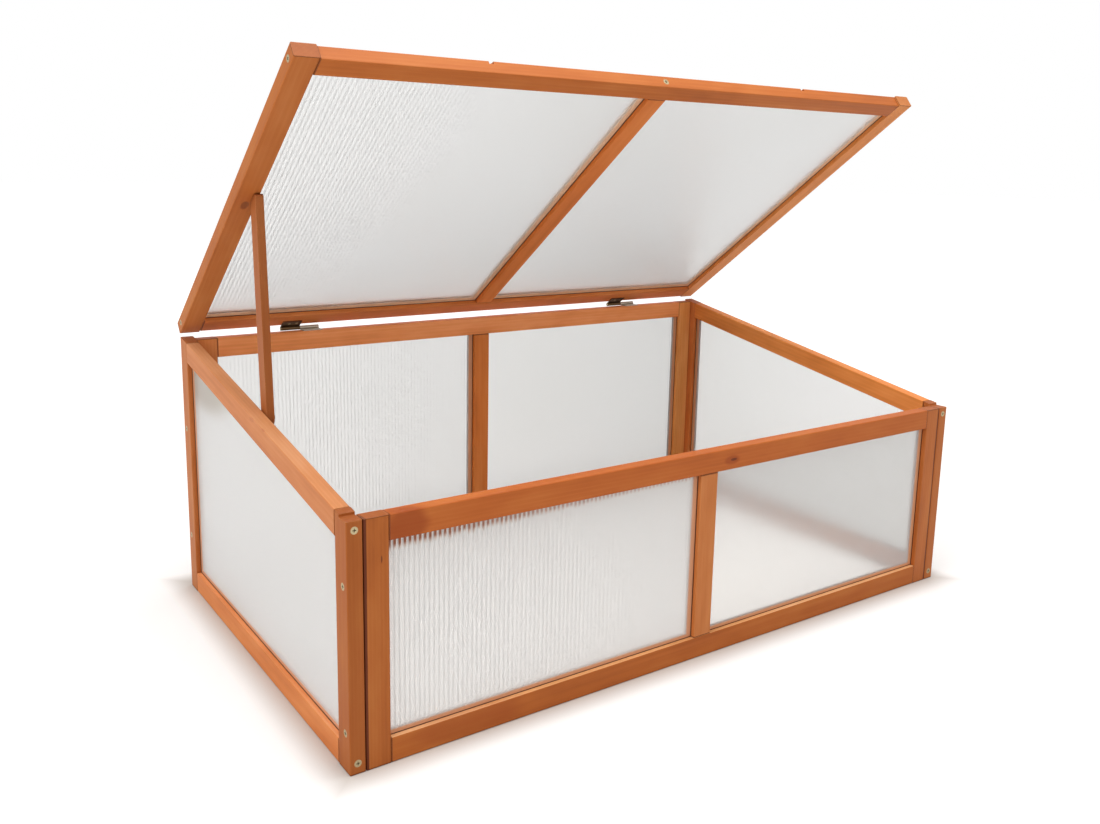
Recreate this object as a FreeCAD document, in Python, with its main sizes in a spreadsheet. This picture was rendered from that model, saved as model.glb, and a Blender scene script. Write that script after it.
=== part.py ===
import FreeCAD, Part
import Sketcher
import os
import re

# Wooden mini greenhouse (cold frame): a box of four glazed panels with a sloping top,
# a glazed lid on two lift-off hinges at the back, and a prop stick that holds it open.
# The box is laid out in corner coordinates: x along the front, y to the back, z up, zero
# at the front left foot. The lid is laid out flat, with its hinge pins' axis at zero.
# Each finished piece is then moved to the part's own origin, under the middle of it all.

doc = FreeCAD.newDocument("cold_frame")
dims = doc.addObject("Spreadsheet::Sheet", "Dims")
worked = doc.addObject("Spreadsheet::Sheet", "Worked")

# Driving sizes, in millimetres and degrees
SIZES = [
    ("box_width", 1000, "outside width of the box and of the lid"),
    ("box_depth", 589, "outside depth of the box"),
    ("front_height", 280, "height of the box at the front"),
    ("rear_height", 382, "height of the end panels at the back"),
    ("back_height", 379, "height of the back panel, between the end panels"),
    ("board_thick", 18, "thickness of the frame boards"),
    ("stile_width", 28.5, "width of the stiles of the front, the back and the lid"),
    ("end_stile_width", 29.5, "width of the end panels' stiles"),
    ("rail_width", 28.5, "width of the box's rails"),
    ("muntin_width", 29, "width of the glazing bars"),
    ("muntin_thick", 17, "thickness of the glazing bars"),
    ("panel_seam", 1, "gap between an end panel and the panel beside it"),
    ("joint_gap", 0.5, "gap where a rail meets a stile"),
    ("end_rail_gap", 1.1, "open joint at the front end of the end panels' top rails"),
    ("edge_radius", 1.3, "rounding of the boards' long edges"),
    ("step_reach", 18.5, "flat part on top of the end panels' front stiles"),
    ("sheet_thick", 4, "thickness of the twin-wall sheets"),
    ("sheet_skin", 0.4, "thickness of each skin of a sheet"),
    ("sheet_web", 0.4, "thickness of the webs in a sheet"),
    ("flute_pitch", 6, "spacing of the webs in a sheet"),
    ("sheet_bite", 5, "how far a sheet reaches into its grooves"),
    ("groove_clear", 0.5, "room round a sheet in its grooves"),
    ("lid_length", 597, "length of the lid's stiles"),
    ("lid_open", 36.2, "slope of the propped lid above the level"),
    ("lid_front_rail_width", 25.5, "width of the lid's front rail"),
    ("lid_hinge_rail_width", 28.5, "width of the lid's hinge rail"),
    ("lid_rail_inset", 2, "how far the lid's stiles run past its rails"),
    ("hook_notch_radius", 3.5, "radius of the two notches in the lid's front rail"),
    ("hook_notch_depth", 4.5, "depth of those notches"),
    ("hook_notch_in", 1.5, "distance of their centres from the rail's free face"),
    ("hook_notch_spread", 522, "distance between the two notches"),
    ("hinge_in", 181.5, "distance of each hinge's middle from the side"),
    ("hinge_half", 30.5, "length of each half of a hinge along its pin"),
    ("knuckle_gap", 0.4, "gap between the two halves of a hinge"),
    ("knuckle_radius", 3, "outside radius of the hinge knuckles"),
    ("hinge_pin_radius", 1.4, "radius of the hinge pins"),
    ("pin_clear", 0.05, "radial play of a pin in its hole"),
    ("leaf_thick", 1.2, "thickness of the hinge leaves"),
    ("leaf_reach", 14.5, "how far a leaf lies on its board"),
    ("knuckle_back", 0.4, "gap between the knuckles and the back panel"),
    ("lid_edge_in", 4, "distance of the lid's hinge edge from the pins' axis"),
    ("prop_width", 20, "width of the prop stick"),
    ("prop_thick", 10, "thickness of the prop stick"),
    ("prop_foot_back", 294, "distance of the prop's pivot from the front"),
    ("prop_foot_down", 9, "distance of the pivot below the end rail's top"),
    ("prop_lean", 3.2, "lean of the prop towards the back"),
    ("prop_bevel", 29, "slope of the prop's top end, a little less than the lid's"),
    ("prop_nose", 2.5, "chamfer of the prop's highest corner"),
    ("rest_gap", 0.3, "gap between parts that rest on or turn past each other"),
    ("washer_thick", 1.7, "thickness of the washer beside the prop"),
    ("washer_radius", 6, "outside radius of that washer"),
    ("screw_shank", 2, "shank radius of the wood screws"),
    ("screw_head", 4.1, "head radius of the wood screws"),
    ("screw_rim", 0.4, "height of the rim of a wood screw's head"),
    ("screw_tip", 5, "length of the point of a wood screw"),
    ("frame_screw_length", 60, "length of the screws through one board into the next one's end"),
    ("corner_screw_length", 35, "length of the screws that join the panels"),
    ("hinge_screw_shank", 1.3, "shank radius of the hinge screws"),
    ("hinge_screw_head", 2.4, "head radius of the hinge screws"),
    ("hinge_screw_rim", 0.1, "height of the rim of a hinge screw's head"),
    ("hinge_screw_tip", 2.5, "length of the point of a hinge screw"),
    ("hinge_screw_length", 12, "length of the hinge screws"),
    ("hinge_screw_first", 7, "distance of the first hinge screw from the hinge's middle"),
    ("hinge_screw_pitch", 12, "distance between the two screws of a leaf"),
    ("pivot_head_height", 2.6, "height of the pivot screw's pan head"),
    ("pivot_head_edge", 0.8, "chamfer of that head"),
    ("pivot_screw_length", 26, "length of the pivot screw under its head"),
    ("screw_clear", 0.05, "room round a screw in its hole"),
    ("recess_long", 4.2, "length of the cross recess of a wood screw"),
    ("recess_wide", 0.9, "width of the arms of that recess"),
    ("recess_deep", 1.1, "depth of that recess"),
    ("low_screw_up", 12, "height of the end frames' lower screws"),
    ("high_screw_down", 10, "distance of their front upper screws below the front's top"),
    ("rear_screw_down", 22, "distance of their rear upper screws below the rear's top"),
    ("corner_screw_in", 11, "distance of the corner screws from the front or back face"),
    ("corner_screw_pitch", 164, "distance between the two corner screws of a stile"),
    ("corner_screw_front", 44, "height of the lower corner screws at the front"),
    ("corner_screw_rear", 83, "height of the lower corner screws at the back"),
    ("overrun", 1, "how far a cutting tool starts outside the wood"),
]

# Values worked out from the driving sizes
WORKED = [
    ("slope", "atan((rear_height - front_height) / box_depth)"),
    ("panel_left", "board_thick + panel_seam"),
    ("panel_right", "box_width - board_thick - panel_seam"),
    ("sheet_face", "(board_thick - sheet_thick) / 2"),
    ("wall_sheet_width", "(panel_right - panel_left - muntin_width) / 2"
                         " - stile_width + 2 * sheet_bite"),
    ("front_sheet_height", "front_height - 2 * rail_width + 2 * sheet_bite"),
    ("back_sheet_height", "back_height - 2 * rail_width + 2 * sheet_bite"),
    ("end_sheet_width", "box_depth - 2 * end_stile_width + 2 * sheet_bite"),
    ("end_sheet_front", "front_height + (end_stile_width - sheet_bite) * tan(slope)"
                        " - (rail_width - sheet_bite) * (1 + 1 / cos(slope))"),
    ("end_sheet_rear", "end_sheet_front + end_sheet_width * tan(slope)"),
    ("lid_sheet_width", "(box_width - muntin_width) / 2 - stile_width + 2 * sheet_bite"),
    ("lid_sheet_length", "lid_length - 2 * lid_rail_inset - lid_front_rail_width"
                         " - lid_hinge_rail_width + 2 * sheet_bite"),
    ("pin_back", "box_depth + knuckle_back + knuckle_radius"),
    ("pin_height", "back_height + knuckle_radius"),
    ("lid_free", "lid_edge_in + lid_length"),
    ("foot_height", "front_height + prop_foot_back * tan(slope)"
                    " - prop_foot_down / cos(slope)"),
    ("prop_left", "board_thick + washer_thick + rest_gap"),
    ("prop_across", "(pin_back - prop_foot_back) * sin(lid_open * 1deg)"
                    " + (pin_height - foot_height) * cos(lid_open * 1deg)"
                    " + knuckle_radius"),
    ("prop_back_reach", "(prop_across - rest_gap"
                        " - prop_width / 2 * sin((lid_open - prop_lean) * 1deg))"
                        " / cos((lid_open - prop_lean) * 1deg)"),
    ("prop_front_reach", "prop_back_reach + (prop_width - prop_nose) * tan(prop_bevel * 1deg)"),
    ("rest_depth", "pin_back + (knuckle_radius + board_thick) * sin(lid_open * 1deg)"
                   " - lid_edge_in * cos(lid_open * 1deg)"),
]

DRIVING = {name for name, value, note in SIZES}
DERIVED = {name for name, text in WORKED}
X_AXIS = FreeCAD.Vector(1, 0, 0)
Y_AXIS = FreeCAD.Vector(0, 1, 0)
Z_AXIS = FreeCAD.Vector(0, 0, 1)
NODES = []


def cell(found):
    word = found.group()
    if word in DRIVING:
        return "Dims." + word
    if word in DERIVED:
        return "Worked." + word
    return word


def formula(text):
    """Turn the size names in a formula into references to the two sheets."""
    return re.sub(r"[a-z_]+", cell, text)


def fill_sheets():
    for row, (name, value, note) in enumerate(SIZES, start=1):
        dims.set(f"A{row}", name)
        dims.set(f"B{row}", str(value))
        dims.set(f"C{row}", note)
        dims.setAlias(f"B{row}", name)
    doc.recompute()
    for row, (name, text) in enumerate(WORKED, start=1):
        worked.set(f"A{row}", name)
        worked.set(f"B{row}", "=" + formula(text))
        worked.setAlias(f"B{row}", name)
        doc.recompute()


def size(name):
    """The present number in a cell of either sheet."""
    owner = dims if name in DRIVING else worked
    number = owner.get(name)
    return float(getattr(number, "Value", number))


def bind(thing, **cells):
    """Bind properties to formulas; a double underscore stands for a dot."""
    for path, text in cells.items():
        thing.setExpression(path.replace("__", "."), formula(text))


def put(thing, corner):
    bind(thing, Placement__Base__x=corner[0], Placement__Base__y=corner[1],
         Placement__Base__z=corner[2])


# The part's own places for pieces of the box, the lid and the prop

def in_box(thing, corner=("0", "0", "0"), turn=None):
    """Set a piece of the box at a corner, turned a quarter round z for the end sheets."""
    if turn:
        thing.Placement.Rotation = FreeCAD.Rotation(Z_AXIS, turn)
    put(thing, (f"{corner[0]} - box_width / 2", f"{corner[1]} - rest_depth / 2", corner[2]))


def in_lid(thing, corner=("0", "0", "0"), turn=0):
    """Hang a piece on the hinge pins' axis, at the slope of the propped lid."""
    thing.Placement.Rotation = FreeCAD.Rotation(X_AXIS, -1)
    bind(thing, Placement__Rotation__Angle=f"({turn} - lid_open) * 1deg")
    across, along, up = corner
    put(thing, (f"{across} - box_width / 2",
                f"pin_back - rest_depth / 2 + ({along}) * cos(lid_open * 1deg)"
                f" + ({up}) * sin(lid_open * 1deg)",
                f"pin_height - ({along}) * sin(lid_open * 1deg)"
                f" + ({up}) * cos(lid_open * 1deg)"))


def on_pivot(thing):
    """Stand a piece on the prop's pivot, leaning with the prop."""
    thing.Placement.Rotation = FreeCAD.Rotation(X_AXIS, -1)
    bind(thing, Placement__Rotation__Angle="-prop_lean * 1deg")
    put(thing, ("prop_left - box_width / 2", "prop_foot_back - rest_depth / 2",
                "foot_height"))


def node(label, thing, settle=None):
    """Name a finished piece, and move it to its place."""
    if settle:
        settle(thing)
    thing.Label = label
    NODES.append(thing)
    return thing


# Boards and the tools that cut them

def block(name, corner, extent):
    box = doc.addObject("Part::Box", name)
    bind(box, Length=extent[0], Width=extent[1], Height=extent[2])
    put(box, corner)
    return box


def rod(name, corner, radius, length, axis):
    """A cylinder that starts at a corner and runs along an axis."""
    cylinder = doc.addObject("Part::Cylinder", name)
    bind(cylinder, Radius=radius, Height=length)
    cylinder.Placement.Rotation = FreeCAD.Rotation(Z_AXIS, axis)
    put(cylinder, corner)
    return cylinder


def combine(kind, name, base, tool):
    result = doc.addObject(kind, name)
    result.Base = base
    result.Tool = tool
    return result


def cut(name, base, tools):
    """Take each tool away from the base in turn."""
    for number, tool in enumerate(tools):
        base = combine("Part::Cut", f"{name}_cut{number}", base, tool)
    return base


def eased(name, base, axis):
    """Round the base's edges that run along an axis."""
    doc.recompute()
    radius = size("edge_radius")
    chosen = []
    for number, edge in enumerate(base.Shape.Edges, start=1):
        along = edge.Vertexes[-1].Point - edge.Vertexes[0].Point
        if along.cross(axis).Length < 0.01 * along.Length:
            chosen.append((number, radius, radius))
    fillet = doc.addObject("Part::Fillet", name + "_eased")
    fillet.Base = base
    fillet.Edges = chosen
    return fillet


def board(label, corner, extent, axis, tools, settle):
    """A straight board with rounded long edges, less its grooves and screw holes."""
    blank = eased(label, block(label + "_blank", corner, extent), axis)
    return node(label, cut(label, blank, tools), settle)


# Sketches

def sketch_on(body, role, name):
    plane = next(part for part in body.Origin.OriginFeatures if part.Role == role)
    sketch = body.newObject("Sketcher::SketchObject", name)
    sketch.AttachmentSupport = [(plane, "")]
    sketch.MapMode = "FlatFace"
    return sketch


def hold(sketch, kind, geometry, point, text):
    """Hold a point's distance from the sketch's origin with a formula."""
    index = sketch.addConstraint(Sketcher.Constraint(kind, -1, 1, geometry, point, 1.0))
    sketch.setExpression(f"Constraints[{index}]", formula(text))


def outline(sketch, corners):
    """Draw a closed outline of straight lines through corners given as formulas."""
    count = len(corners)
    for number in range(count):
        start = FreeCAD.Vector(number, number ** 2, 0)
        end = FreeCAD.Vector(number + 1, (number + 1) ** 2, 0)
        sketch.addGeometry(Part.LineSegment(start, end))
    for number in range(count):
        follower = (number + 1) % count
        sketch.addConstraint(Sketcher.Constraint("Coincident", number, 2, follower, 1))
    for number, (across, along) in enumerate(corners):
        hold(sketch, "DistanceX", number, 1, across)
        hold(sketch, "DistanceY", number, 1, along)


def ring(sketch, across, along, radius):
    """Draw a circle whose centre and radius are formulas."""
    number = sketch.addGeometry(Part.Circle(FreeCAD.Vector(1, 1, 0), Z_AXIS, 1))
    hold(sketch, "DistanceX", number, 3, across)
    hold(sketch, "DistanceY", number, 3, along)
    index = sketch.addConstraint(Sketcher.Constraint("Radius", number, 1.0))
    sketch.setExpression(f"Constraints[{index}]", formula(radius))


def pad(body, sketch, name, length):
    feature = body.newObject("PartDesign::Pad", name)
    feature.Profile = sketch
    bind(feature, Length=length)


def pocket(body, sketch, name, depth, upward):
    """Cut a sketch into a body, and make sure that it takes something away."""
    doc.recompute()
    before = body.Shape.Volume
    feature = body.newObject("PartDesign::Pocket", name)
    feature.Profile = sketch
    feature.Reversed = upward
    bind(feature, Length=depth)
    doc.recompute()
    if body.Shape.Volume >= before:
        raise ValueError(f"{name} cuts nothing")


# Screws, made once each with the head's face at zero and the point along z

def turned(name, corners):
    """A body turned round z from an outline of (radius, height) corners."""
    body = doc.addObject("PartDesign::Body", name)
    sketch = sketch_on(body, "XZ_Plane", name + "_outline")
    outline(sketch, corners)
    turn = body.newObject("PartDesign::Revolution", name + "_turn")
    turn.Profile = sketch
    turn.ReferenceAxis = (sketch, ["V_Axis"])
    turn.Angle = 360
    return body


def countersunk(name, head, rim, shank, tip, length):
    return turned(name, [
        ("0", "0"),
        (head, "0"),
        (head, rim),
        (shank, f"{rim} + {head} - {shank}"),
        (shank, f"{length} - {tip}"),
        ("0", length),
    ])


def countersunk_hole(name, head, rim, shank, tip, length):
    """The tool that cuts a screw's hole, which starts outside the wood."""
    return turned(name, [
        ("0", "0"),
        (f"{head} + screw_clear", "0"),
        (f"{head} + screw_clear", f"overrun + {rim}"),
        (f"{shank} + screw_clear", f"overrun + {rim} + {head} - {shank}"),
        (f"{shank} + screw_clear", f"overrun + {length} - {tip}"),
        ("0", f"overrun + {length} + screw_clear"),
    ])


def cross_recess(body, name):
    """Sink a cross into a screw's head."""
    doc.recompute()
    sketch = sketch_on(body, "XY_Plane", name + "_cross")
    reach, arm = "recess_long / 2", "recess_wide / 2"
    quarter = [(reach, arm), (arm, arm), (arm, reach)]
    corners = list(quarter)
    corners += [(f"-{across}", along) for across, along in reversed(quarter)]
    corners += [(f"-{across}", f"-{along}") for across, along in quarter]
    corners += [(across, f"-{along}") for across, along in reversed(quarter)]
    outline(sketch, corners)
    pocket(body, sketch, name + "_recess", "recess_deep", True)


def screw_kind(name, head, rim, shank, tip, length, recess):
    sizes = (head, rim, shank, tip, length)
    screw = countersunk(name, *sizes)
    if recess:
        cross_recess(screw, name)
    return screw, countersunk_hole(name + "_hole", *sizes)


def placed(body, point, direction):
    copy = body.Shape.copy()
    copy.Placement = FreeCAD.Placement(point, FreeCAD.Rotation(Z_AXIS, direction))
    return copy


def screws(label, kind, places, settle):
    """A node of like screws at (point, direction) places, and the tool for their holes."""
    screw, hole = kind
    doc.recompute()
    group = doc.addObject("Part::Feature", label + "_group")
    group.Shape = Part.makeCompound([placed(screw, *place) for place in places])
    node(label, group, settle)
    holes = doc.addObject("Part::Feature", label + "_holes")
    start = size("overrun")
    holes.Shape = Part.makeCompound([placed(hole, point - direction * start, direction)
                                     for point, direction in places])
    return holes


# Twin-wall sheets, made flat with the width along x and the flutes along z

def twin_wall(width, length):
    thick, skin, web, pitch = (size("sheet_thick"), size("sheet_skin"),
                               size("sheet_web"), size("flute_pitch"))
    count = int((width - web) // pitch)
    margin = (width - count * pitch) / 2
    wires = [Part.makePlane(width, thick).OuterWire]
    for number in range(count):
        left = margin + number * pitch + web / 2
        flute = Part.makePlane(pitch - web, thick - 2 * skin, FreeCAD.Vector(left, skin, 0))
        wires.append(flute.OuterWire)
    section = Part.makeFace(wires, "Part::FaceMakerBullseye")
    return section.extrude(Z_AXIS * length)


def sheet(label, shape, settle, corner, turn):
    thing = doc.addObject("Part::Feature", label + "_sheet")
    thing.Shape = shape
    settle(thing, corner, turn)
    return node(label, thing)


# Glazed frames with two windows: the front, the back and the lid

def glazed_frame(prefix, upright, sides, ends, face, rails, inset, sheet_size, tools, settle):
    """A frame between two sides and two ends, standing up or lying flat.

    Its own across, along and through directions are x, z and y where it stands up,
    and x, y and z where it lies flat.
    """
    left, right = sides
    low, high = ends
    (low_name, low_width), (high_name, high_width) = rails
    along = Z_AXIS if upright else Y_AXIS

    def turned_over(across, up, through):
        return (across, through, up) if upright else (across, up, through)

    inner_low = f"{low} + {inset} + {low_width}"
    inner_high = f"{high} - {inset} - {high_width}"
    clear = "sheet_bite + groove_clear"
    groove_face = f"{face} + sheet_face - groove_clear"
    groove_thick = "sheet_thick + 2 * groove_clear"
    groove_low = f"{inner_low} - sheet_bite"
    groove_length = f"{inner_high} - ({inner_low}) + sheet_bite + {clear}"
    middle = f"({left} + {right}) / 2"
    window = f"({right} - {left} - muntin_width) / 2 - stile_width + 2 * ({clear})"
    grooves = []
    for side, start in (("left", f"{left} + stile_width - ({clear})"),
                        ("right", f"{middle} + muntin_width / 2 - ({clear})")):
        groove = block(f"{prefix}_{side}_groove",
                       turned_over(start, groove_low, groove_face),
                       turned_over(window, groove_length, groove_thick))
        grooves.append(groove)

    stile_extent = turned_over("stile_width", f"{high} - ({low})", "board_thick")
    for side, start, groove in (("left", left, grooves[0]),
                                ("right", f"{right} - stile_width", grooves[1])):
        board(f"{prefix}_{side}_stile", turned_over(start, low, face), stile_extent,
              along, [groove] + tools["stile"], settle)

    rail_start = f"{left} + stile_width + joint_gap"
    rail_span = f"{right} - {left} - 2 * (stile_width + joint_gap)"
    for name, width, start, extra in (
            (low_name, low_width, f"{low} + {inset}", tools["low"]),
            (high_name, high_width, f"{high} - {inset} - {high_width}", tools["high"])):
        board(f"{prefix}_{name}", turned_over(rail_start, start, face),
              turned_over(rail_span, width, "board_thick"),
              X_AXIS, grooves + extra, settle)

    board(f"{prefix}_muntin",
          turned_over(f"{middle} - muntin_width / 2", f"{inner_low} + joint_gap",
                      f"{face} + (board_thick - muntin_thick) / 2"),
          turned_over("muntin_width", f"{inner_high} - ({inner_low}) - 2 * joint_gap",
                      "muntin_thick"),
          along, grooves + tools["muntin"], settle)

    width, length = size(sheet_size[0]), size(sheet_size[1])
    lying = 0 if upright else 90
    sheet_start = f"{inner_low} - sheet_bite" if upright else f"{inner_high} + sheet_bite"
    for side, start in (("left", f"{left} + stile_width - sheet_bite"),
                        ("right", f"{middle} + muntin_width / 2 - sheet_bite")):
        sheet(f"{prefix}_sheet_{side}", twin_wall(width, length), settle,
              turned_over(start, sheet_start, f"{face} + sheet_face"), lying)


# End panels, whose tops slope

def above_slope(name, left, drop):
    """Everything above the end panels' sloping top, or above a line that lies lower."""
    tool = block(name, (f"{left} - overrun", "0", f"front_height - ({drop}) / cos(slope)"),
                 ("board_thick + 2 * overrun", "2 * box_depth", "rear_height"))
    tool.Placement.Rotation = FreeCAD.Rotation(X_AXIS, 1)
    bind(tool, Placement__Rotation__Angle="slope")
    return tool


def end_panel(side, left, tools):
    slope_tool = above_slope(f"{side}_slope", left, "0")
    inner = "end_stile_width - sheet_bite - groove_clear"
    groove_blank = block(f"{side}_groove_blank",
                         (f"{left} + sheet_face - groove_clear", inner,
                          "rail_width - sheet_bite"),
                         ("sheet_thick + 2 * groove_clear", f"box_depth - 2 * ({inner})",
                          "rear_height"))
    lower_slope = above_slope(f"{side}_lower_slope", left,
                              "rail_width - sheet_bite - groove_clear")
    groove = cut(f"{side}_groove", groove_blank, [lower_slope])
    step = block(f"{side}_step", (f"{left} - overrun", "-overrun", "front_height"),
                 ("board_thick + 2 * overrun", "step_reach + overrun", "rear_height"))

    board(f"{side}_front_stile", (left, "0", "0"),
          ("board_thick", "end_stile_width", "front_height + end_stile_width * tan(slope)"),
          Z_AXIS, [slope_tool, step, groove] + tools, in_box)
    board(f"{side}_rear_stile", (left, "box_depth - end_stile_width", "0"),
          ("board_thick", "end_stile_width", "rear_height"),
          Z_AXIS, [slope_tool, groove] + tools, in_box)
    board(f"{side}_bottom_rail", (left, "end_stile_width + joint_gap", "0"),
          ("board_thick", "box_depth - 2 * (end_stile_width + joint_gap)", "rail_width"),
          Y_AXIS, [groove] + tools, in_box)

    rail_blank = block(f"{side}_rail_blank",
                       (left, "rail_width * sin(slope)",
                        "front_height - rail_width * cos(slope)"),
                       ("board_thick", "box_depth / cos(slope)", "rail_width"))
    rail_blank.Placement.Rotation = FreeCAD.Rotation(X_AXIS, 1)
    bind(rail_blank, Placement__Rotation__Angle="slope")
    doc.recompute()
    uphill = rail_blank.Placement.Rotation.multVec(Y_AXIS)
    rail_room = block(f"{side}_rail_room",
                      (f"{left} - overrun", "end_stile_width + end_rail_gap", "0"),
                      ("board_thick + 2 * overrun",
                       "box_depth - 2 * end_stile_width - end_rail_gap - joint_gap",
                       "2 * rear_height"))
    rail = combine("Part::Common", f"{side}_rail", eased(f"{side}_rail", rail_blank, uphill),
                   rail_room)
    node(f"{side}_top_rail", cut(f"{side}_top_rail", rail, [groove] + tools), in_box)

    width, front, rear = (size("end_sheet_width"), size("end_sheet_front"),
                          size("end_sheet_rear"))
    corners = [FreeCAD.Vector(0, 0, 0), FreeCAD.Vector(width, 0, 0),
               FreeCAD.Vector(width, 0, rear), FreeCAD.Vector(0, 0, front)]
    room = Part.Face(Part.makePolygon(corners + corners[:1]))
    room = room.extrude(Y_AXIS * size("sheet_thick"))
    sheet(f"{side}_sheet", twin_wall(width, rear).common(room), in_box,
          (f"{left} + sheet_face + sheet_thick", "end_stile_width - sheet_bite",
           "rail_width - sheet_bite"), 90)


# Hinges

def hinge_half(label, start, axis_at, plate_low, plate_front, tools, settle):
    """One half of a lift-off hinge: its leaf, and its knuckle round the pin."""
    length = "hinge_half - knuckle_gap / 2"
    back, up = axis_at
    plate = block(label + "_plate", (start, plate_front, plate_low),
                  (length, f"{back} - ({plate_front})", "leaf_thick"))
    knuckle = rod(label + "_knuckle", (start, back, up), "knuckle_radius", length, X_AXIS)
    whole = combine("Part::Fuse", label + "_whole", plate, knuckle)
    hole = rod(label + "_pin_hole", (f"{start} - overrun", back, up),
               "hinge_pin_radius + pin_clear", f"{length} + 2 * overrun", X_AXIS)
    node(label, cut(label, whole, [hole] + tools), settle)


def hinge_places(sign, back, up, direction):
    """Where the screws of both hinges' leaves go, on one side of the hinges' middles."""
    middles = (size("hinge_in"), size("box_width") - size("hinge_in"))
    first = size("hinge_screw_first")
    steps = (first, first + size("hinge_screw_pitch"))
    return [(FreeCAD.Vector(middle + sign * step, back, up), direction)
            for middle in middles for step in steps]


def hinges(body_holes, lid_holes):
    pins = []
    for side, middle in (("left", "hinge_in"), ("right", "box_width - hinge_in")):
        hinge_half(f"hinge_{side}_box_leaf", f"{middle} + knuckle_gap / 2",
                   ("pin_back", "pin_height"), "back_height", "box_depth - leaf_reach",
                   [body_holes], in_box)
        hinge_half(f"hinge_{side}_lid_leaf", f"{middle} - hinge_half", ("0", "0"),
                   "knuckle_radius - leaf_thick", "-lid_edge_in - leaf_reach",
                   [lid_holes], in_lid)
        pins.append(rod(f"hinge_{side}_pin", (f"{middle} - hinge_half", "pin_back",
                                              "pin_height"),
                        "hinge_pin_radius", "2 * hinge_half", X_AXIS))
    group = doc.addObject("Part::Compound", "hinge_pins_group")
    group.Links = pins
    node("hinge_pins", group, in_box)


# The prop stick, made standing with its pivot at zero

def prop_stick():
    body = doc.addObject("PartDesign::Body", "prop_stick")
    stick = sketch_on(body, "YZ_Plane", "prop_outline")
    half = "(prop_width / 2)"
    outline(stick, [(f"-{half}", "0"), (half, "0"), (half, "prop_back_reach"),
                    (f"prop_nose - {half}", "prop_front_reach"),
                    (f"-{half}", "prop_front_reach - prop_nose")])
    pad(body, stick, "prop_pad", "prop_thick")
    foot = sketch_on(body, "YZ_Plane", "prop_foot")
    ring(foot, "0", "0", half)
    pad(body, foot, "prop_foot_pad", "prop_thick")
    hole = sketch_on(body, "YZ_Plane", "prop_hole")
    ring(hole, "0", "0", "screw_shank + pin_clear")
    pocket(body, hole, "prop_hole_pocket", "prop_thick", True)
    return node("prop", body, on_pivot)


def prop_pivot(pivot_screw, pivot_hole):
    head_face = (size("prop_left") + size("prop_thick") + size("rest_gap")
                 + size("pivot_head_height"))
    point = FreeCAD.Vector(head_face, size("prop_foot_back"), size("foot_height"))
    holes = screws("prop_pivot_screw", (pivot_screw, pivot_hole), [(point, -X_AXIS)], in_box)
    disc = rod("washer_disc", ("board_thick", "prop_foot_back", "foot_height"),
               "washer_radius", "washer_thick", X_AXIS)
    node("prop_washer", cut("prop_washer", disc, [holes]), in_box)
    return holes


# Places of the wood screws

def both_sides(across, along, up):
    """A place on the left with its direction inwards, and its match on the right."""
    return [(FreeCAD.Vector(across, along, up), X_AXIS),
            (FreeCAD.Vector(size("box_width") - across, along, up), -X_AXIS)]


def end_frame_places():
    middle = size("board_thick") / 2
    places = []
    for across in (middle, size("box_width") - middle):
        for up in (size("low_screw_up"), size("front_height") - size("high_screw_down")):
            places.append((FreeCAD.Vector(across, 0, up), Y_AXIS))
        for up in (size("low_screw_up"), size("rear_height") - size("rear_screw_down")):
            places.append((FreeCAD.Vector(across, size("box_depth"), up), -Y_AXIS))
    return places


def panel_frame_places():
    middle, half_rail = size("board_thick") / 2, size("rail_width") / 2
    places = []
    for along, height in ((middle, size("front_height")),
                          (size("box_depth") - middle, size("back_height"))):
        for up in (half_rail, height - half_rail):
            places += both_sides(size("panel_left"), along, up)
    return places


def muntin_places():
    """The screws that come up from below into the feet of the glazing bars."""
    middle, across = size("board_thick") / 2, size("box_width") / 2
    return [(FreeCAD.Vector(across, along, 0), Z_AXIS)
            for along in (middle, size("box_depth") - middle)]


def corner_places():
    places = []
    inward, pitch = size("corner_screw_in"), size("corner_screw_pitch")
    for along, low in ((inward, size("corner_screw_front")),
                       (size("box_depth") - inward, size("corner_screw_rear"))):
        for up in (low, low + pitch):
            places += both_sides(0, along, up)
    return places


def lid_places():
    """The screws through the lid's stiles, and those through its rails into the muntin."""
    up = size("knuckle_radius") + size("board_thick") / 2
    across, inset = size("box_width") / 2, size("lid_rail_inset")
    front_face, hinge_face = inset - size("lid_free"), -size("lid_edge_in") - inset
    frame = both_sides(0, front_face + size("lid_front_rail_width") / 2, up)
    frame += both_sides(0, hinge_face - size("lid_hinge_rail_width") / 2, up)
    muntin = [(FreeCAD.Vector(across, front_face, up), Y_AXIS),
              (FreeCAD.Vector(across, hinge_face, up), -Y_AXIS)]
    return frame, muntin


def hook_notches():
    tools = []
    for side, sign in (("left", "-"), ("right", "+")):
        tools.append(rod(f"hook_notch_{side}",
                         (f"box_width / 2 {sign} hook_notch_spread / 2",
                          "lid_rail_inset + hook_notch_in - lid_free",
                          "knuckle_radius + board_thick - hook_notch_depth"),
                         "hook_notch_radius", "hook_notch_depth + overrun", Z_AXIS))
    return tools


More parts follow.
